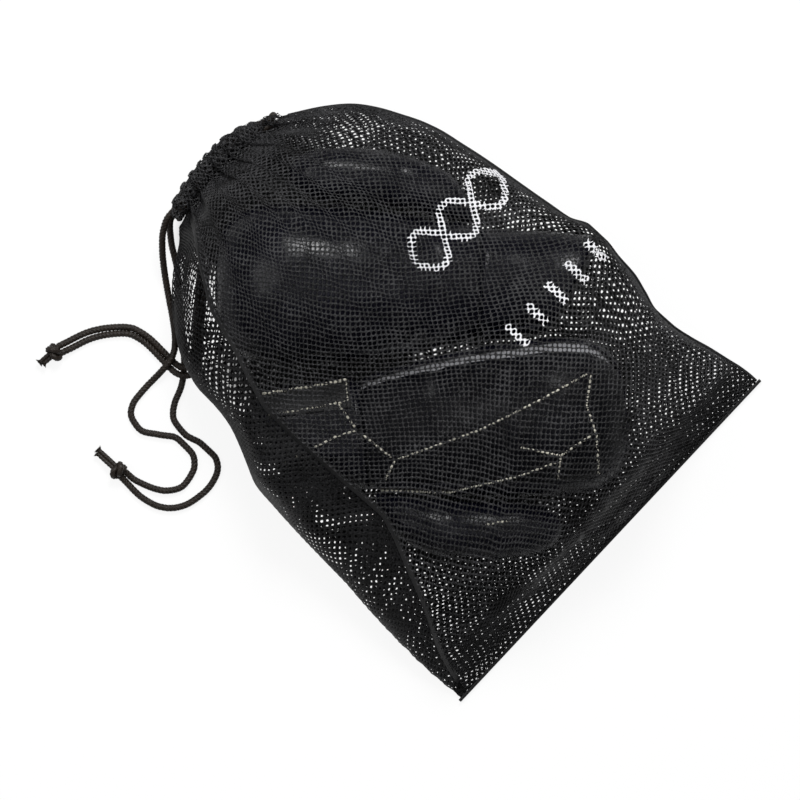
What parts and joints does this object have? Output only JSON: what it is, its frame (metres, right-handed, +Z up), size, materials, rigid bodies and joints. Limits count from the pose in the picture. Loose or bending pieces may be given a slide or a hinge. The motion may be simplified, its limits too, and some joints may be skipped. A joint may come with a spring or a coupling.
{
  "type": "mesh_glove_bag",
  "caption": "Black mesh drawstring carry bag with its mouth drawn closed, holding dark leather boxing gloves laid head to tail; braided drawcords end in knots.",
  "frame": {"origin": "middle of the underside of the bag, on the surface it lies on", "axes": "+Y from the bottom seam to the drawn mouth, +X to the right as seen from above, +Z up"},
  "size_m": [0.4148, 0.45, 0.1255],
  "materials": {
    "net": "satin knitted mesh",
    "tape": "woven tape",
    "cord": "braided cord",
    "leather": "smooth, semi-gloss",
    "foam": "soft foam padding",
    "lining": "woven lining and hook-and-loop",
    "label": "woven label with pale stitching"
  },
  "bodies": {
    "bag": {"front_net_panel": "net", "back_net_panel": "net", "left_side_seam": "tape", "right_side_seam": "tape", "bottom_binding": "tape", "front_hem_casing": "net", "back_hem_casing": "net", "left_exit_drawcord": "cord", "right_exit_drawcord": "cord", "left_cord_upper_tail": "cord", "left_cord_lower_tail": "cord", "right_cord_upper_tail": "cord", "right_cord_lower_tail": "cord"},
    "left_glove": {"left_fist_leather": "leather", "left_palm_leather": "leather", "left_foam": "foam", "left_lining": "lining", "left_grip_bar": "leather", "left_thumb_tab": "leather", "left_cuff": "leather", "left_cuff_binding": "tape", "left_loop_patch": "lining", "left_hanging_loop": "tape"},
    "left_thumb": {"left_thumb": "leather"},
    "left_strap": {"left_wrist_strap": "leather", "left_hook_patch": "lining", "left_label": "label"},
    "right_glove": {"right_fist_leather": "leather", "right_palm_leather": "leather", "right_foam": "foam", "right_lining": "lining", "right_grip_bar": "leather", "right_thumb_tab": "leather", "right_cuff": "leather", "right_cuff_binding": "tape", "right_loop_patch": "lining", "right_hanging_loop": "tape"},
    "right_thumb": {"right_thumb": "leather"},
    "right_strap": {"right_wrist_strap": "leather", "right_hook_patch": "lining", "right_label": "label"},
    "left_cord_end": {"left_cord_knot": "cord"},
    "right_cord_end": {"right_cord_knot": "cord"}
  },
  "joints": [
    {"name": "left_glove_shift", "type": "slide", "parent": "bag", "child": "left_glove", "axis": [-0.6833, 0.7302, 0], "range_m": [0, 0.006]},
    {"name": "right_glove_shift", "type": "slide", "parent": "bag", "child": "right_glove", "axis": [0.7443, -0.6678, 0], "range_m": [0, 0.006]},
    {"name": "left_thumb_flex", "type": "hinge", "parent": "left_glove", "child": "left_thumb", "pos_m": [0.10834, 0.03129, 0.04169], "axis": [-0.0607, 0.0649, -0.996], "range_deg": [0, 2.5], "deforming": ["left_thumb_tab"]},
    {"name": "right_thumb_flex", "type": "hinge", "parent": "right_glove", "child": "right_thumb", "pos_m": [-0.09976, -0.05982, 0.05335], "axis": [0.0662, -0.0594, -0.996], "range_deg": [0, 2.5], "deforming": ["right_thumb_tab"]},
    {"name": "left_strap_lift", "type": "hinge", "parent": "left_glove", "child": "left_strap", "pos_m": [0.11485, -0.02252, 0.00861], "axis": [0.6806, -0.7273, -0.0889], "range_deg": [0, 1.5]},
    {"name": "right_strap_lift", "type": "hinge", "parent": "right_glove", "child": "right_strap", "pos_m": [-0.11477, -0.00333, 0.07815], "axis": [0.7414, -0.6652, 0.0889], "range_deg": [0, 1.5]},
    {"name": "left_cord_pull", "type": "slide", "parent": "bag", "child": "left_cord_end", "axis": [-0.995, 0.0995, 0], "range_m": [0, 0.06], "deforming": ["left_cord_upper_tail", "left_cord_lower_tail"]},
    {"name": "right_cord_pull", "type": "slide", "parent": "bag", "child": "right_cord_end", "axis": [-0.9701, 0.2425, 0], "range_m": [0, 0.025], "deforming": ["right_cord_upper_tail", "right_cord_lower_tail"]}
  ]
}
